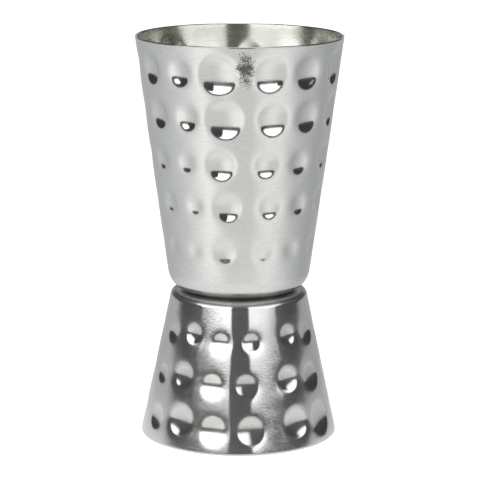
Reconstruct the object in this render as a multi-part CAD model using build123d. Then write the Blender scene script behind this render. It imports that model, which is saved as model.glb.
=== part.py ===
from build123d import *
import math
import os

# Double-ended bar jigger: a larger dimpled steel cup stands on its base on top of a smaller
# cup turned upside down, and the two flat bases are spot-welded together at the waist.
# Millimetres, +Z up, origin at the centre of the lower rim, where the jigger rests.

os.makedirs("parts", exist_ok=True)

# ---- driving dimensions -------------------------------------------------------------------
HEIGHT = 89.5                # lower rim to upper rim
JOINT_HEIGHT = 32.65         # plane where the two bases meet
SHEET = 0.5                  # steel sheet thickness
RIM_EASE = 0.12              # chamfer on the edges of each rim

UPPER_RIM_RADIUS = 23.0      # outside of the wall at the mouth
UPPER_FOOT_RADIUS = 15.19    # wall line carried down to the joint plane
UPPER_CORNER = 5.0           # outside radius between wall and base

LOWER_RIM_RADIUS = 22.0
LOWER_FOOT_RADIUS = 15.03
LOWER_CORNER = 1.4

# The fingers of the press tool, round the cup: angle from the front, counted to the right; how
# wide the finger dented the sheet; how steeply; and how far it sits above its row.
UPPER_COLUMNS = (
    (-59, 0.92, 1.0, 0),
    (-35, 0.76, 1.0, 0),
    (-10.5, 1.27, 1.0, 0),
    (18.5, 1.07, 1.0, 0),
    (43, 1.0, 1.0, 0),
    (71, 1.1, 1.0, 0),
    (97, 0.5, 0.35, 0),
    (123, 0.9, 0.8, 0),
    (149, 0.9, 0.4, -1.0),
    (175, 0.9, 0.4, -1.0),
    (201, 0.9, 0.4, -1.0),
    (226, 0.9, 0.8, 0),
    (250, 0.8, 0.9, 0),
    (275, 0.5, 0.35, 0),
)
LOWER_COLUMNS = (
    (-61, 0.75, 1.15, 0.2),
    (-38, 0.95, 1.22, 0.8),
    (-15, 0.83, 1.0, -0.3),
    (8, 0.88, 1.0, -0.27),
    (39, 0.95, 1.22, 0.4),
    (62, 1.15, 1.35, 0.2),
    (88, 0.6, 0.4, 0),
    (114, 0.9, 1.0, 0),
    (140, 1.1, 1.0, 0),
    (166, 1.0, 1.0, 0),
    (192, 0.9, 1.0, 0),
    (218, 1.1, 1.0, 0),
    (244, 1.0, 1.0, 0),
    (271, 0.6, 0.4, 0),
)

# One row of pressed dimples: height of the centres, radius of the ball's contact patch, angle of
# the sheet at the edge of that patch, turn of the row about the axis, and how much flatter its
# narrow dents are (0 for not at all).
UPPER_ROWS = (
    (83.4, 3.1, 26, -1, 0),
    (73.7, 2.95, 26, 2, 0),
    (63.6, 2.2, 23.2, -1, 0.6),
    (54.1, 1.95, 22.7, 3, 0.6),
    (44.0, 1.6, 16.5, 0, 0.8),
)
LOWER_ROWS = (
    (24.3, 1.8, 13.5, 1.5, 0),
    (15.0, 2.4, 12.5, -3, 0),
    (5.4, 3.1, 12.5, -0.5, 0),
)
UPPER_SKIRT = 1.0            # the drawn-in sheet round the contact patch counts as this much
LOWER_SKIRT = 0.6            # deeper for every unit of slope at the patch's edge

WELD_COUNT = 3
WELD_CIRCLE = 6.5            # radius of the ring of spot welds
NUGGET_RADIUS = 2.0
NUGGET_DEPTH = 0.3           # how far a weld nugget reaches into each base
ELECTRODE_RADIUS = 2.6       # round mark left by the welding electrode
ELECTRODE_DEPTH = 0.06


class Cup:
    """One cup in its own pose: base plane at z = 0, mouth upwards, wall a plain cone."""

    def __init__(self, foot_radius, rim_radius, height, corner):
        self.foot_radius = foot_radius
        self.rim_radius = rim_radius
        self.height = height
        self.corner = corner
        self.lean = math.atan((rim_radius - foot_radius) / height)

    def radius(self, z):
        return self.foot_radius + (self.rim_radius - self.foot_radius) * z / self.height

    def side(self, z, inset):
        """Point of the wall at a height, set in from the outer face by a distance square to it."""
        return (self.radius(z) - inset / math.cos(self.lean), z)


UPPER = Cup(UPPER_FOOT_RADIUS, UPPER_RIM_RADIUS, HEIGHT - JOINT_HEIGHT, UPPER_CORNER)
LOWER = Cup(LOWER_FOOT_RADIUS, LOWER_RIM_RADIUS, JOINT_HEIGHT, LOWER_CORNER)


def turned_body(cup, inset):
    """Solid of revolution inside the wall, its base lifted by the inset, its mouth at the rim."""
    foot = cup.side(inset, inset)
    lip = cup.side(cup.height - RIM_EASE, inset)
    ease = RIM_EASE if inset > 0 else -RIM_EASE
    mouth = (lip[0] + ease, cup.height)
    with BuildPart() as body:
        with BuildSketch(Plane.XZ):
            with BuildLine():
                Polyline((0, inset), foot, lip, mouth, (0, cup.height), close=True)
            make_face()
        revolve(axis=Axis.Z)
        base_edge = body.edges().filter_by(GeomType.CIRCLE).sort_by(Axis.Z)[0]
        fillet(base_edge, cup.corner - inset)
    return body.part.solid()


def dent(contact, angle, skirt):
    """Edge radius and depth of the ball-shaped dent that stands for one pressed dimple.

    The tool's ball touches the sheet out to the contact radius; the sheet round it is drawn in a
    little further, which makes the whole dent slightly wider and deeper.
    """
    slope = math.radians(angle)
    ball = contact / math.sin(slope)
    depth = ball * (1 - math.cos(slope)) + 0.6 * skirt * math.tan(slope)
    return contact + 0.6 * skirt, depth


def dimple_balls(cup, columns, rows, skirt, extra):
    """Balls that press the dimples, each on the wall's normal; extra is added to their radius.

    Row heights and lifts are measured from the cup's own base plane.
    """
    balls = []
    for height, contact, angle, row_turn, fade in rows:
        for turn, wide, steep, lift in columns:
            edge_radius, depth = dent(contact * wide, angle * steep * wide**fade, skirt)
            ball = (edge_radius**2 + depth**2) / (2 * depth)
            reach = ball - depth
            out = cup.radius(height + lift) + reach * math.cos(cup.lean)
            centre_height = height + lift - reach * math.sin(cup.lean)
            a = math.radians(turn + row_turn)
            place = Pos(out * math.sin(a), -out * math.cos(a), centre_height)
            balls.append((place * Sphere(ball + extra)).solid())
    return balls


def above_base(columns, rows, upright):
    """Columns and rows with heights counted from the cup's own base instead of from the floor."""
    way = 1 if upright else -1
    lifted = [(turn, wide, steep, way * lift) for turn, wide, steep, lift in columns]
    risen = [(way * (row[0] - JOINT_HEIGHT), *row[1:]) for row in rows]
    return lifted, risen


def pressed_shell(cup, columns, rows, skirt):
    """Sheet-steel shell with its dimples, and the volume that it holds to the brim."""
    outside = turned_body(cup, 0).cut(*dimple_balls(cup, columns, rows, skirt, 0))
    hollow = turned_body(cup, SHEET).cut(*dimple_balls(cup, columns, rows, skirt, SHEET))
    return outside.cut(hollow), hollow.volume


def weld_places():
    """Centres of the spot welds, evenly spaced on a ring about the axis."""
    turns = [math.radians(90 + 360 * k / WELD_COUNT) for k in range(WELD_COUNT)]
    return [(WELD_CIRCLE * math.cos(a), WELD_CIRCLE * math.sin(a)) for a in turns]


def nugget(x, y):
    """Lens of fused steel, widest at the joint plane and rounded into both bases."""
    top = (0, NUGGET_DEPTH)
    edge = (NUGGET_RADIUS, 0)
    bottom = (0, -NUGGET_DEPTH)
    with BuildPart() as lens:
        with BuildSketch(Plane.XZ):
            with BuildLine():
                RadiusArc(top, edge, nugget_arc_radius())
                RadiusArc(edge, bottom, nugget_arc_radius())
                Line(bottom, top)
            make_face()
        revolve(axis=Axis.Z)
    return Pos(x, y, JOINT_HEIGHT) * lens.part.solid()


def nugget_arc_radius():
    """Radius of the lens faces: a circle through the rim that is level at the crown."""
    return (NUGGET_RADIUS**2 + NUGGET_DEPTH**2) / (2 * NUGGET_DEPTH)


def with_welds(shell, upright):
    """Cuts the electrode marks and the pockets that the weld nuggets fill."""
    inward = 1 if upright else -1
    marks = JOINT_HEIGHT + inward * (SHEET - ELECTRODE_DEPTH / 2)
    tools = []
    for x, y in weld_places():
        tools.append((Pos(x, y, marks) * Cylinder(ELECTRODE_RADIUS, ELECTRODE_DEPTH)).solid())
        tools.append(nugget(x, y))
    return shell.cut(*tools)


def upper_cup():
    places = above_base(UPPER_COLUMNS, UPPER_ROWS, True)
    shell, volume = pressed_shell(UPPER, *places, UPPER_SKIRT)
    return with_welds(Pos(0, 0, JOINT_HEIGHT) * shell, True), volume


def lower_cup():
    """The smaller cup, mirrored in its base plane so that its mouth is the foot of the jigger."""
    places = above_base(LOWER_COLUMNS, LOWER_ROWS, False)
    shell, volume = pressed_shell(LOWER, *places, LOWER_SKIRT)
    return with_welds(Pos(0, 0, JOINT_HEIGHT) * shell.mirror(Plane.XY), False), volume


if __name__ == "__main__":
    upper, upper_volume = upper_cup()
    export_step(upper, "parts/upper_cup.step")
    lower, lower_volume = lower_cup()
    export_step(lower, "parts/lower_cup.step")
    for number, (x, y) in enumerate(weld_places(), start=1):
        export_step(nugget(x, y), f"parts/weld_nugget_{number}.step")
    print("upper cup holds", round(upper_volume / 1000, 1), "ml to the brim")
    print("lower cup holds", round(lower_volume / 1000, 1), "ml to the brim")
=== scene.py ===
import math

import bpy
import numpy as np
from mathutils import Matrix, Vector


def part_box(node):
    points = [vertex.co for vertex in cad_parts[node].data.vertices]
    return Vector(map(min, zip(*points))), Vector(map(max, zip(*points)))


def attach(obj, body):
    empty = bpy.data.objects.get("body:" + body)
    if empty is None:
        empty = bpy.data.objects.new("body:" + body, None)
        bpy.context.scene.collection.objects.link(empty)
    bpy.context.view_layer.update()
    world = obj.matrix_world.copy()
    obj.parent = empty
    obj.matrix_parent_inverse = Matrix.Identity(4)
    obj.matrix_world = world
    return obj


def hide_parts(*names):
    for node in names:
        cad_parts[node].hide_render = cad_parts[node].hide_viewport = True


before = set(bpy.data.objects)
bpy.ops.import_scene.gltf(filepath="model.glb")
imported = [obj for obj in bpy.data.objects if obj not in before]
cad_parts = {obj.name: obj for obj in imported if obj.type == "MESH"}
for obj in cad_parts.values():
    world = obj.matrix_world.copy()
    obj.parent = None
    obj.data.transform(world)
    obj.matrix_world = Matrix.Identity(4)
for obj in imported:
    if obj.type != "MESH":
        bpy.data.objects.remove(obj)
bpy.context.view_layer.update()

# A double-ended bar jigger in pressed, brushed stainless steel: the larger cup stands on its base
# on top of the smaller cup, which is turned upside down, and the two bases are spot-welded.

MM = 0.001

# ---- sizes, in millimetres -----------------------------------------------------------------------
upper_low, upper_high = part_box("upper_cup")
lower_low, lower_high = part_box("lower_cup")
JOINT_HEIGHT = upper_low[2] / MM    # the plane where the two bases meet
SHEET = 0.5                 # steel sheet thickness
RIM_CALM = 2.0              # the sheet is left undented over this distance from the rim
COLUMNS_ROUND = 384         # grid columns round each cup

# Columns of dimples: angle from the front, counted to the right; how wide that finger of the tool
# dented the sheet; how steeply; and how far it sits above its row.
UPPER_COLUMNS = (
    (-59, 0.92, 1.0, 0), (-35, 0.76, 1.0, 0), (-10.5, 1.27, 1.0, 0), (18.5, 1.07, 1.0, 0),
    (43, 1.0, 1.0, 0), (71, 1.1, 1.0, 0), (97, 0.5, 0.35, 0), (123, 0.9, 0.8, 0),
    (149, 0.9, 0.4, -1.0), (175, 0.9, 0.4, -1.0), (201, 0.9, 0.4, -1.0), (226, 0.9, 0.8, 0),
    (250, 0.8, 0.9, 0), (275, 0.5, 0.35, 0),
)
LOWER_COLUMNS = (
    (-61, 0.75, 1.15, 0.2), (-38, 0.95, 1.22, 0.8), (-15, 0.83, 1.0, -0.3), (8, 0.88, 1.0, -0.27),
    (39, 0.95, 1.22, 0.4), (62, 1.15, 1.35, 0.2), (88, 0.6, 0.4, 0), (114, 0.9, 1.0, 0),
    (140, 1.1, 1.0, 0), (166, 1.0, 1.0, 0), (192, 0.9, 1.0, 0), (218, 1.1, 1.0, 0),
    (244, 1.0, 1.0, 0), (271, 0.6, 0.4, 0),
)
# Rows of dimples: height of the centres, radius of the ball's contact patch, angle of the sheet at
# the edge of that patch, turn of the row about the axis, and how much flatter narrow dents are.
UPPER_ROWS = (
    (83.4, 3.1, 26, -1, 0), (73.7, 2.95, 26, 2, 0), (63.6, 2.2, 23.2, -1, 0.6),
    (54.1, 1.95, 22.7, 3, 0.6), (44.0, 1.6, 16.5, 0, 0.8),
)
LOWER_ROWS = ((24.3, 1.8, 13.5, 1.5, 0), (15.0, 2.4, 12.5, -3, 0), (5.4, 3.1, 12.5, -0.5, 0))

# Each cup is measured from the joint plane to its rim. The foot is the wall's line carried down to
# the joint plane, the bow how far the wall bulges at mid height, the skirt how fast the sheet
# recovers outside a contact patch, and the scuffing that covers the base fades across the corner
# to the share left at the wall; below 0 it has gone before the wall. Up is 1 or -1.
UPPER = {
    "foot": 15.19, "rim": (upper_high[0] - upper_low[0]) / 2 / MM,
    "height": (upper_high[2] - upper_low[2]) / MM, "up": 1, "corner": 5.0, "bow": 0.1,
    "columns": UPPER_COLUMNS, "rows": UPPER_ROWS, "skirt": 1.0, "scuff_left": -1.0,
    "corner_rows": 12, "wall_rows": 150, "inner_rows": 60,
}
LOWER = {
    "foot": 15.03, "rim": (lower_high[0] - lower_low[0]) / 2 / MM,
    "height": (lower_high[2] - lower_low[2]) / MM, "up": -1, "corner": 1.4, "bow": 0.0,
    "columns": LOWER_COLUMNS, "rows": LOWER_ROWS, "skirt": 0.6, "scuff_left": 0.6,
    "corner_rows": 8, "wall_rows": 120, "inner_rows": 60,
}
for cup in (UPPER, LOWER):
    cup["lean"] = math.atan((cup["rim"] - cup["foot"]) / cup["height"])


# ---- geometry ------------------------------------------------------------------------------------
def dent_depth(distance, contact, angle, skirt):
    """Depth of a pressed dimple at a distance from its centre.

    Inside the contact patch it is the cap of a ball, whose slope reaches the stated angle at the
    patch's edge. Outside, the sheet rises along an exponential that starts with the same slope.
    """
    ball = contact / math.sin(angle)
    inside = np.minimum(distance, contact)
    cap = np.sqrt(ball**2 - inside**2) - ball * math.cos(angle)
    outside = math.tan(angle) * skirt * np.exp(-np.maximum(distance - contact, 0) / skirt)
    return cap + outside


def dent_slope(distance, contact, angle, skirt):
    """Slope of the same dimple: distance over the ball's height inside, exponential outside."""
    ball = contact / math.sin(angle)
    inside = np.minimum(distance, contact)
    cap = inside / np.sqrt(ball**2 - inside**2)
    fall = np.exp(-np.maximum(distance - contact, 0) / skirt)
    return cap * fall


def press_dimples(turn, along, cup):
    """Summed depth and greatest slope of a cup's dimples at wall points given by turn and height.

    A point's distance from a dimple is the hypotenuse of the arc round the wall, at the height of
    the dimple, and the slant along the wall.
    """
    depth = np.zeros(np.broadcast(turn, along).shape)
    slope = np.zeros_like(depth)
    for height, contact, angle, row_turn, fade in cup["rows"]:
        for column_turn, wide, steep, lift in cup["columns"]:
            here = abs(height + lift - JOINT_HEIGHT)
            slant = (along - here) / math.cos(cup["lean"])
            away = turn - math.radians(column_turn + row_turn)
            away = (away + math.pi) % (2 * math.pi) - math.pi
            distance = np.hypot(wall_radius(here, cup) * away, slant)
            shape = (contact * wide, math.radians(angle * steep * wide**fade), cup["skirt"])
            depth += dent_depth(distance, *shape)
            slope = np.maximum(slope, dent_slope(distance, *shape))
    return depth, slope


def wall_radius(along, cup):
    """Outer radius of the wall at a height above the base: a cone with a slight parabolic bow."""
    share = along / cup["height"]
    return cup["foot"] + (cup["rim"] - cup["foot"]) * share + 4 * cup["bow"] * share * (1 - share)


def arc(centre, radius, start, end, count):
    """Points of a circular arc between two directions, given in degrees from the radius axis."""
    angle = np.radians(np.linspace(start, end, count))
    return centre[0] + radius * np.cos(angle), centre[1] + radius * np.sin(angle)


def corner_centre(cup, inset):
    """Centre of the base corner, which touches the base plane and the straight wall line."""
    radius = cup["corner"] - inset
    height = cup["corner"]
    wall_line = cup["foot"] + height * math.tan(cup["lean"]) - inset / math.cos(cup["lean"])
    return wall_line - radius / math.cos(cup["lean"]), height


def shell_profile(cup):
    """Section of the sheet from the axis outside, over the rim, to the axis inside.

    It is two base lines, two corner arcs and two wall lines, one sheet apart, and a half-round lip.
    Returns each point's radius and height, and three shares from 0 to 1: on the wall, where the
    dimples are pressed; inside the cup; and scuffed, as the base is.
    """
    lean = math.degrees(cup["lean"])
    sideways = SHEET / math.cos(cup["lean"])
    lip = SHEET / 2
    lip_height = cup["height"] - lip
    outer = corner_centre(cup, 0)
    inner = corner_centre(cup, SHEET)
    foot_out = np.linspace(0, outer[0], 6)
    foot_in = np.linspace(inner[0], 0, 10)
    corner_out = arc(outer, cup["corner"], -90, -lean, cup["corner_rows"])
    corner_in = arc(inner, cup["corner"] - SHEET, -lean, -90, cup["corner_rows"])
    rise = np.linspace(corner_out[1][-1], lip_height, cup["wall_rows"])
    fall = np.linspace(lip_height, corner_in[1][0], cup["inner_rows"])
    rim = arc((wall_radius(lip_height, cup) - lip, lip_height), lip, 0, 180, 7)
    scuff = np.clip(np.linspace(1, cup["scuff_left"], cup["corner_rows"] - 1), 0, 1)
    pieces = [
        (foot_out[:-1], 0, 0, 0, 1),
        (corner_out[0][:-1], corner_out[1][:-1], 0, 0, scuff),
        (wall_radius(rise, cup), rise, 1, 0, 0),
        (rim[0][1:-1], rim[1][1:-1], 0, 0, 0),
        (wall_radius(fall, cup) - sideways, fall, 1, 1, 0),
        (corner_in[0][1:], corner_in[1][1:], 0, 1, 0),
        (foot_in[1:], SHEET, 0, 1, 0),
    ]
    filled = [np.broadcast_arrays(*piece) for piece in pieces]
    return [np.concatenate(values) for values in zip(*filled)]


def shell_points(profile, turn, cup):
    """Mesh points of a cup and the slope of its dimples on the rings between the two end points.

    A ring point is its section point turned about the axis, moved square to the wall by the depth
    of the dimples there. Close to the rim that depth fades out along a smooth step.
    """
    radius, height, wall = (values[1:-1, None] for values in profile[:3])
    depth, slope = press_dimples(turn[None, :], height, cup)
    calm = np.clip((cup["height"] - height) / RIM_CALM, 0, 1)
    depth = depth * wall * calm * calm * (3 - 2 * calm)
    out = radius - depth * math.cos(cup["lean"])
    rise = JOINT_HEIGHT + cup["up"] * (height + depth * math.sin(cup["lean"]))
    rings = np.stack([out * np.sin(turn), -out * np.cos(turn), rise], axis=-1)
    ends = [[0, 0, JOINT_HEIGHT], [0, 0, JOINT_HEIGHT + cup["up"] * SHEET]]
    return np.concatenate([rings.reshape(-1, 3), ends]) * MM, slope * wall


def shell_faces(rings, up):
    """Quads between neighbouring rings, and fans that close the first and the last ring."""
    grid = np.arange(rings * COLUMNS_ROUND).reshape(rings, COLUMNS_ROUND)
    ahead = np.roll(grid, -1, axis=1)
    quads = np.stack([grid[:-1], ahead[:-1], ahead[1:], grid[1:]], axis=-1).reshape(-1, 4)
    first = np.full(COLUMNS_ROUND, grid.size)
    last = first + 1
    fans = np.concatenate([
        np.stack([first, ahead[0], grid[0]], axis=-1),
        np.stack([last, grid[-1], ahead[-1]], axis=-1),
    ])
    if up < 0:
        quads = quads[:, ::-1]
        fans = fans[:, ::-1]
    return quads.tolist() + fans.tolist()


def closed_shell(name, cup):
    """Cup mesh: the section turned about the axis, with the walls pushed in by the dimples.

    Vertex (i, j) is section point i at turn 2 pi j / columns. The first and last section points
    lie on the axis and are single vertices, closed by fans. Its float attributes are the slope of
    the dimples and the shares of the inside and of the scuffing.
    """
    profile = shell_profile(cup)
    turn = 2 * math.pi * np.arange(COLUMNS_ROUND) / COLUMNS_ROUND
    points, slope = shell_points(profile, turn, cup)
    mesh = bpy.data.meshes.new(name)
    mesh.from_pydata(points.tolist(), [], shell_faces(len(profile[0]) - 2, cup["up"]))
    mesh.shade_smooth()
    finishes = {"dent": np.append(slope.ravel(), [0, 0])}
    for label, share in (("inside", profile[3]), ("scuffed", profile[4])):
        on_rings = np.repeat(share[1:-1], COLUMNS_ROUND)
        finishes[label] = np.append(on_rings, [share[0], share[-1]])
    for label, values in finishes.items():
        attribute = mesh.attributes.new(label, "FLOAT", "POINT")
        attribute.data.foreach_set("value", values.astype(np.float32))
    mesh.validate()
    piece = bpy.data.objects.new(name, mesh)
    bpy.context.scene.collection.objects.link(piece)
    return piece


# ---- node helpers --------------------------------------------------------------------------------
class Nodes:
    """Short calls for the nodes of one material or world."""

    def __init__(self, tree):
        self.tree = tree
        tree.nodes.clear()

    def add(self, kind, inputs=None, **settings):
        """New node, with its sockets linked to other sockets or set to plain values."""
        node = self.tree.nodes.new(kind)
        for key, value in settings.items():
            setattr(node, key, value)
        for key, value in (inputs or {}).items():
            self.feed(node.inputs[key], value)
        return node

    def feed(self, socket, value):
        if isinstance(value, bpy.types.NodeSocket):
            self.tree.links.new(value, socket)
        else:
            socket.default_value = value

    def math(self, operation, a, b=0.0):
        return self.add("ShaderNodeMath", {0: a, 1: b}, operation=operation).outputs[0]

    def times(self, a, b):
        return self.math("MULTIPLY", a, b)

    def plus(self, a, b):
        return self.math("ADD", a, b)

    def ramp(self, value, start, end, low=0.0, high=1.0):
        """Smooth step from low to high as value goes from start to end."""
        inputs = {"Value": value, "From Min": start, "From Max": end, "To Min": low, "To Max": high}
        node = self.add("ShaderNodeMapRange", inputs, interpolation_type="SMOOTHSTEP")
        return node.outputs["Result"]

    def window(self, value, start, end, soft_start, soft_end):
        """1 between start and end, fading out over the two soft widths."""
        rise = self.ramp(value, start - soft_start, start + soft_start)
        fall = self.ramp(value, end - soft_end, end + soft_end, 1.0, 0.0)
        return self.times(rise, fall)

    def blend(self, share, a, b):
        """Plain mix of two values: a where share is 0, b where it is 1."""
        node = self.add("ShaderNodeMix", data_type="FLOAT")
        self.feed(node.inputs[0], share)
        self.feed(node.inputs[2], a)
        self.feed(node.inputs[3], b)
        return node.outputs[0]

    def tint(self, share, a, b):
        """Mix of two colours: a where share is 0, b where it is 1."""
        node = self.add("ShaderNodeMix", data_type="RGBA")
        self.feed(node.inputs[0], share)
        self.feed(node.inputs[6], a)
        self.feed(node.inputs[7], b)
        return node.outputs[2]

    def place(self, source="Object"):
        """Coordinates as one vector: places in metres, or in the world the direction looked in."""
        return self.add("ShaderNodeTexCoord").outputs[source]

    def split(self, vector):
        return self.add("ShaderNodeSeparateXYZ", {0: vector}).outputs

    def turn(self, x, y):
        """Angle about the axis from the front, counted to the right, in radians."""
        return self.math("ARCTAN2", x, self.times(y, -1.0))

    def noise(self, vector, scale, detail):
        inputs = {"Vector": vector, "Scale": scale, "Detail": detail}
        return self.add("ShaderNodeTexNoise", inputs).outputs[0]

    def attribute(self, name):
        return self.add("ShaderNodeAttribute", attribute_name=name).outputs["Fac"]


def tinted(value, tint):
    """Colour of a brightness under a tint of red, green and blue shares."""
    return (value * tint[0], value * tint[1], value * tint[2], 1.0)


# ---- materials -----------------------------------------------------------------------------------
STEEL_TINT = (0.994, 1.006, 0.992)
INSIDE_TINT = (1.29, 1.29, 1.19)    # the inside is lighter and slightly warm
SHADE_SPREAD = 0.045        # lines are lighter or darker than the sheet by this share
LINE_SPREAD = 0.02          # change of roughness from line to line
BROAD_SPREAD = 0.015        # and over broad soft patches
INSIDE_ROUGHER = 0.18       # added to the wall's roughness
SCUFFED_ROUGHER = 0.25
SCUFFED_SHARE = 0.65        # share of dull, evenly rough steel where it is scuffed
DULL_ROUGHNESS = 0.42
BRIGHT_SLOPES = (0.14, 0.38)        # slopes over which a dent turns from brushed to bright
BRIGHT_RELIEF = 0.12        # share of the brush lines' depth left where the steel is bright

# Colour, roughness of the wall and of the bright dents, depth of the brush lines in millimetres,
# how often they break off round the circle, and the share of dull steel all over the wall.
UPPER_FINISH = {"colour": 0.66, "wall": 0.10, "dent": 0.08, "depth": 0.0045, "breaks": 10.0, "dull": 0.08}
LOWER_FINISH = {"colour": 0.62, "wall": 0.07, "dent": 0.05, "depth": 0.0055, "breaks": 30.0, "dull": 0.10}

MARK_PLACE = (1.3, 84.5)    # handled mark: across from the axis and up from the table, millimetres
MARK_SIZE = (1.7, 3.0)
MARK_SHADE = 0.18           # share of the steel's colour left in the mark


def brush_lines(nodes, around, across, detail):
    """Noise drawn out into lines round the axis: slow along the circle, fast along the height."""
    x, y, z = nodes.split(nodes.place())
    turn = nodes.turn(x, y)
    ring_x = nodes.times(nodes.math("COSINE", turn), around)
    ring_y = nodes.times(nodes.math("SINE", turn), around)
    inputs = {0: ring_x, 1: ring_y, 2: nodes.times(z, across)}
    return nodes.noise(nodes.add("ShaderNodeCombineXYZ", inputs).outputs[0], 1.0, detail)


def handled_mark(nodes):
    """Share of a small dark speckled mark near the rim, on the front of the cup.

    Fine specks and coarser clouds are added up, and fewer of them pass the threshold as the
    squared distance from the middle of the mark grows.
    """
    place = nodes.place()
    x, y, z = nodes.split(place)
    across = nodes.math("DIVIDE", nodes.math("SUBTRACT", x, MARK_PLACE[0] * MM), MARK_SIZE[0] * MM)
    rise = nodes.math("DIVIDE", nodes.math("SUBTRACT", z, MARK_PLACE[1] * MM), MARK_SIZE[1] * MM)
    far = nodes.plus(nodes.times(across, across), nodes.times(rise, rise))
    specks = nodes.noise(place, 3800.0, 2.0)
    clouds = nodes.noise(place, 500.0, 2.0)
    grain = nodes.plus(specks, nodes.times(clouds, 0.8))
    share = nodes.ramp(nodes.math("SUBTRACT", grain, nodes.times(far, 0.2)), 0.6, 0.9)
    in_front = nodes.ramp(y, -2 * MM, 0.0, 1.0, 0.0)
    return nodes.times(share, in_front)


def brushed_steel(name, finish, marked=False):
    """Stainless steel brushed round the axis, with dimples left bright by the press tool."""
    material = bpy.data.materials.new(name)
    material.use_nodes = True
    nodes = Nodes(material.node_tree)
    bright = nodes.ramp(nodes.attribute("dent"), *BRIGHT_SLOPES)
    inside = nodes.attribute("inside")
    scuffed = nodes.attribute("scuffed")
    lines = brush_lines(nodes, finish["breaks"], 7000.0, 3.0)
    broad = brush_lines(nodes, 2.2, 420.0, 2.0)

    smooth, rough = finish["wall"] - BROAD_SPREAD, finish["wall"] + BROAD_SPREAD
    streaks = nodes.ramp(lines, 0.3, 0.7, -LINE_SPREAD, LINE_SPREAD)
    wall = nodes.plus(streaks, nodes.ramp(broad, 0.3, 0.7, smooth, rough))
    roughness = nodes.blend(bright, wall, finish["dent"])
    roughness = nodes.blend(inside, roughness, nodes.plus(wall, INSIDE_ROUGHER))
    roughness = nodes.blend(scuffed, roughness, nodes.plus(wall, SCUFFED_ROUGHER))

    colour = finish["colour"]
    darker = tinted(colour * (1 - SHADE_SPREAD), STEEL_TINT)
    lighter = tinted(colour * (1 + SHADE_SPREAD), STEEL_TINT)
    shade = nodes.tint(nodes.ramp(lines, 0.25, 0.75), darker, lighter)
    shade = nodes.tint(inside, shade, tinted(colour, INSIDE_TINT))
    if marked:
        shade = nodes.tint(handled_mark(nodes), shade, tinted(colour * MARK_SHADE, STEEL_TINT))

    relief = nodes.blend(nodes.math("MAXIMUM", bright, inside), 1.0, BRIGHT_RELIEF)
    height = nodes.times(lines, relief)
    bump = nodes.add("ShaderNodeBump", {"Height": height, "Distance": finish["depth"] * MM})
    tangent = nodes.add("ShaderNodeTangent", direction_type="RADIAL", axis="Z")
    brushed = nodes.add("ShaderNodeBsdfPrincipled", {
        "Base Color": shade, "Metallic": 1.0, "Roughness": roughness, "Anisotropic": 0.95,
        "Anisotropic Rotation": 0.25, "Normal": bump.outputs[0], "Tangent": tangent.outputs[0],
    })
    dull = nodes.add("ShaderNodeBsdfPrincipled", {
        "Base Color": shade, "Metallic": 1.0, "Roughness": DULL_ROUGHNESS, "Normal": bump.outputs[0],
    })
    grain = brush_lines(nodes, 130.0, 6500.0, 2.0)
    speckle = nodes.ramp(grain, 0.35, 0.65, finish["dull"] * 0.2, finish["dull"] * 2.4)
    plain_wall = nodes.times(nodes.blend(bright, 1.0, 0.0), nodes.blend(inside, 1.0, 0.0))
    on_base = nodes.times(scuffed, SCUFFED_SHARE)
    share = nodes.math("MAXIMUM", nodes.times(speckle, plain_wall), on_base)
    surface = nodes.add("ShaderNodeMixShader", {0: share, 1: brushed.outputs[0], 2: dull.outputs[0]})
    nodes.add("ShaderNodeOutputMaterial", {"Surface": surface.outputs[0]})
    return material


def weld_steel():
    """Fused steel with a mottled, slightly heat-tinted grain."""
    material = bpy.data.materials.new("weld metal")
    material.use_nodes = True
    nodes = Nodes(material.node_tree)
    grain = nodes.noise(nodes.place(), 2500.0, 3.0)
    shade = nodes.tint(grain, (0.36, 0.34, 0.32, 1.0), (0.52, 0.5, 0.46, 1.0))
    bump = nodes.add("ShaderNodeBump", {"Height": grain, "Distance": 0.02 * MM})
    shader = nodes.add("ShaderNodeBsdfPrincipled", {
        "Base Color": shade, "Metallic": 1.0, "Roughness": nodes.ramp(grain, 0.3, 0.7, 0.38, 0.6),
        "Normal": bump.outputs[0],
    })
    nodes.add("ShaderNodeOutputMaterial", {"Surface": shader.outputs[0]})
    return material


# ---- studio --------------------------------------------------------------------------------------
# Directions are in degrees: azimuth from the front, counted to the right, and height above level.
DARK = 0.055                # brightness of the unlit studio
DARK_TINT = (1.04, 1.0, 0.97)
GAP = 0.075                 # of the gap in front, between the soft boxes
GAP_TINT = (0.94, 1.0, 1.08)
BACKDROP = 0.5              # of the low pale wall behind
BACKDROP_TINT = (1.0, 1.0, 1.02)
ABOVE_BACKDROP = (0.15, 0.12, 0.10, 1)
SOFTBOX = 2.3               # of the left soft box
FILL = 1.84                 # of the right soft box and the overhead light
WHITE = (1.0, 1.0, 1.0)
LEFT_BOX = (-12.0, -79.0, 8.4)      # inner side, outer side and lower edge
RIGHT_BOX = (16.5, 79.0, 7.5)
BOX_TOP = 32.0
BOX_TAPER = 17.0            # the outer side draws in by this much at the lower edge
BOX_TAPER_HEIGHT = 12.0

TABLE_RADIUS = 2.4          # metres
TABLE_CORNERS = 96
TABLE_GLOW = 0.85           # light from the table away from the soft boxes
TABLE_SHEEN = 0.42          # light added below them
TABLE_RIGHT_SHARE = 0.68
TABLE_NEAR = (0.05, 0.12)   # metres from the axis over which the near light gives way to the sheen
TABLE_NEAR_SHARE = 0.45


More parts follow.
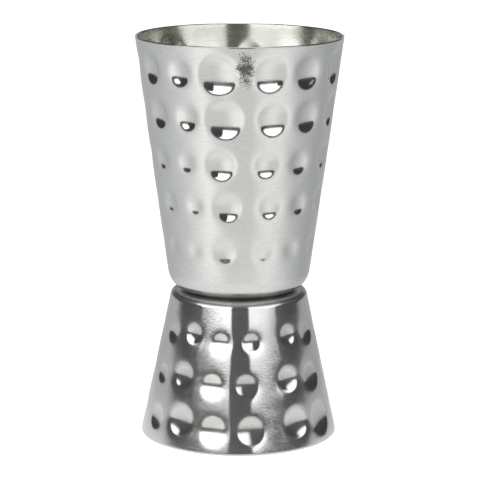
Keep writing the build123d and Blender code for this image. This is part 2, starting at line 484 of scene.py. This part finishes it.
def soft_box(nodes, azimuth, height, inner, outer, low):
    """A tall light with a straight inner side; its outer side draws in towards the bottom."""
    side = 1.0 if outer > inner else -1.0
    out = nodes.times(azimuth, side)
    drawn_in = nodes.plus(out, nodes.ramp(height, low, low + BOX_TAPER_HEIGHT, BOX_TAPER, 0.0))
    near = nodes.ramp(out, side * inner - 1.5, side * inner + 1.5)
    far = nodes.ramp(drawn_in, side * outer - 3.0, side * outer + 3.0, 1.0, 0.0)
    tall = nodes.window(height, low, BOX_TOP, 0.8, 5.0)
    return nodes.times(nodes.times(near, far), tall)


def studio_world():
    """Dark studio with two soft boxes, a pale wall behind and an overhead light, by direction."""
    world = bpy.data.worlds.new("studio")
    bpy.context.scene.world = world
    world.use_nodes = True
    nodes = Nodes(world.node_tree)
    x, y, z = nodes.split(nodes.place("Generated"))
    azimuth = nodes.math("DEGREES", nodes.turn(x, y))
    height = nodes.math("DEGREES", nodes.math("ARCSINE", z))
    centre = nodes.window(azimuth, -14.0, 17.0, 3.0, 3.0)
    dark = nodes.tint(centre, tinted(DARK, DARK_TINT), tinted(GAP, GAP_TINT))
    above = nodes.ramp(height, 10.0, 18.0)
    behind = nodes.tint(above, tinted(BACKDROP, BACKDROP_TINT), ABOVE_BACKDROP)
    light = nodes.tint(nodes.window(azimuth, -155.0, 155.0, 10.0, 10.0), behind, dark)
    light = nodes.tint(soft_box(nodes, azimuth, height, *LEFT_BOX), light, tinted(SOFTBOX, WHITE))
    light = nodes.tint(soft_box(nodes, azimuth, height, *RIGHT_BOX), light, tinted(FILL, WHITE))
    light = nodes.tint(nodes.ramp(height, 66.0, 72.0), light, tinted(FILL, WHITE))
    seen = nodes.add("ShaderNodeLightPath").outputs["Is Camera Ray"]
    light = nodes.tint(seen, light, tinted(1.0, WHITE))
    background = nodes.add("ShaderNodeBackground", {"Color": light, "Strength": 1.0})
    nodes.add("ShaderNodeOutputWorld", {"Surface": background.outputs[0]})


def table_light(nodes):
    """Light that the jigger gets from the table: it follows the soft boxes round the jigger."""
    x, y, z = nodes.split(nodes.place())
    azimuth = nodes.math("DEGREES", nodes.turn(x, y))
    reach = nodes.math("SQRT", nodes.plus(nodes.times(x, x), nodes.times(y, y)))
    left = nodes.window(azimuth, -58.0, -26.0, 26.0, 14.0)
    right = nodes.window(azimuth, 28.0, 58.0, 14.0, 26.0)
    both = nodes.plus(left, nodes.times(right, TABLE_RIGHT_SHARE))
    sheen = nodes.times(both, nodes.ramp(reach, *TABLE_NEAR))
    sheen = nodes.plus(sheen, nodes.ramp(reach, *TABLE_NEAR, TABLE_NEAR_SHARE, 0.0))
    left_side = nodes.ramp(azimuth, -165.0, -50.0, 0.62, 1.0)
    right_side = nodes.ramp(azimuth, 45.0, 120.0, 1.0, 0.6)
    glow = nodes.plus(TABLE_GLOW, nodes.times(sheen, TABLE_SHEEN))
    glow = nodes.times(nodes.times(left_side, right_side), glow)
    sideways = nodes.ramp(nodes.math("ABSOLUTE", azimuth), 40.0, 95.0)
    tone = nodes.tint(sideways, (1.0, 0.99, 0.965, 1), (0.985, 0.995, 1.01, 1))
    return nodes.add("ShaderNodeEmission", {"Color": tone, "Strength": glow})


def table_top():
    """White table: a wide flat disc, near white to the eye, that lights the jigger from below."""
    turn = 2 * math.pi * np.arange(TABLE_CORNERS) / TABLE_CORNERS
    level = np.zeros(TABLE_CORNERS)
    rim = np.stack([TABLE_RADIUS * np.sin(turn), -TABLE_RADIUS * np.cos(turn), level], axis=-1)
    mesh = bpy.data.meshes.new("table")
    mesh.from_pydata(rim.tolist(), [], [list(range(TABLE_CORNERS))])
    table = bpy.data.objects.new("table", mesh)
    bpy.context.scene.collection.objects.link(table)
    material = bpy.data.materials.new("white table")
    material.use_nodes = True
    nodes = Nodes(material.node_tree)
    light = table_light(nodes)
    paper = nodes.add("ShaderNodeBsdfDiffuse", {"Color": (0.9, 0.9, 0.9, 1)})
    lamp = nodes.add("ShaderNodeEmission", {"Color": tinted(1.0, WHITE), "Strength": 0.75})
    pale = nodes.add("ShaderNodeAddShader", {0: paper.outputs[0], 1: lamp.outputs[0]})
    seen = nodes.add("ShaderNodeLightPath").outputs["Is Camera Ray"]
    surface = nodes.add("ShaderNodeMixShader", {0: seen, 1: light.outputs[0], 2: pale.outputs[0]})
    nodes.add("ShaderNodeOutputMaterial", {"Surface": surface.outputs[0]})
    mesh.materials.append(material)


# ---- camera --------------------------------------------------------------------------------------
CAMERA_PLACE = (0, -0.4882, 0.1466)     # metres
CAMERA_DOWN = 11.92         # degrees below level
CAMERA_ROLL = 0.192
LENS = 167.6                # millimetres, on a 36 mm wide sensor
LENS_SHIFT = 0.00207


def camera():
    """Long lens from the front and a little above, rolled by a fifth of a degree."""
    lens = bpy.data.cameras.new("camera")
    lens.sensor_width = 36.0
    lens.lens = LENS
    lens.shift_x = LENS_SHIFT
    lens.clip_start = 0.01
    eye = bpy.data.objects.new("camera", lens)
    bpy.context.scene.collection.objects.link(eye)
    tilt = Matrix.Rotation(math.radians(90 - CAMERA_DOWN), 4, "X")
    roll = Matrix.Rotation(math.radians(CAMERA_ROLL), 4, "Z")
    eye.matrix_world = Matrix.Translation(Vector(CAMERA_PLACE)) @ tilt @ roll
    bpy.context.scene.camera = eye


# ---- the jigger ----------------------------------------------------------------------------------
camera()
studio_world()
table_top()
bpy.context.scene.view_settings.view_transform = "Standard"

upper_cup = closed_shell("brushed_upper_cup", UPPER)
upper_cup.data.materials.append(brushed_steel("upper cup steel", UPPER_FINISH, marked=True))
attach(upper_cup, "root")
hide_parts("upper_cup")

lower_cup = closed_shell("brushed_lower_cup", LOWER)
lower_cup.data.materials.append(brushed_steel("lower cup steel", LOWER_FINISH))
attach(lower_cup, "root")
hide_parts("lower_cup")

weld = weld_steel()
for number in (1, 2, 3):
    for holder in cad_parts[f"weld_nugget_{number}"].material_slots:
        holder.material = weld
